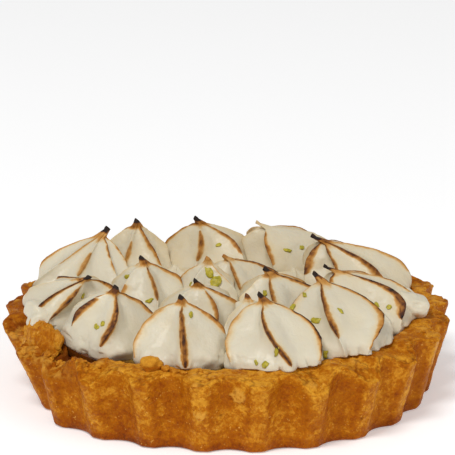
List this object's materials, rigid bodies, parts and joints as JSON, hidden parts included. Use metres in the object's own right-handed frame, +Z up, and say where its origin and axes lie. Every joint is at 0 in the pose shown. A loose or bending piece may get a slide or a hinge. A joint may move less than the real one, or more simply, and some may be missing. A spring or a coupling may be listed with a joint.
{
  "type": "lemon meringue tart",
  "caption": "Single-serve lemon meringue tart: fluted shortcrust case with a broken rim, lemon filling, and piped, toasted meringue kisses with zest flecks.",
  "frame": {"origin": "middle of the underside of the pastry case", "axes": "+Z up; -Y is the front, the side that faces the viewer in the picture; +X is to the viewer's right; the broken rim is at the front left"},
  "size_m": [0.0997, 0.0998, 0.032],
  "materials": {
    "shortcrust": "dry crumbly baked shortcrust, golden brown",
    "lemon_curd": "glossy set lemon curd",
    "meringue": "soft satin meringue, toasted brown along its ribs"
  },
  "bodies": {
    "root": {"crust": "shortcrust", "lemon_filling": "lemon_curd", "meringue_kiss_01": "meringue", "meringue_kiss_02": "meringue", "meringue_kiss_03": "meringue", "meringue_kiss_04": "meringue", "meringue_kiss_05": "meringue", "meringue_kiss_06": "meringue", "meringue_kiss_07": "meringue", "meringue_kiss_08": "meringue", "meringue_kiss_09": "meringue", "meringue_kiss_10": "meringue", "meringue_kiss_11": "meringue", "meringue_kiss_12": "meringue", "meringue_kiss_13": "meringue", "meringue_kiss_14": "meringue", "meringue_kiss_15": "meringue", "meringue_kiss_16": "meringue", "meringue_kiss_17": "meringue", "meringue_kiss_18": "meringue", "meringue_kiss_19": "meringue", "meringue_kiss_20": "meringue"}
  },
  "joints": []
}
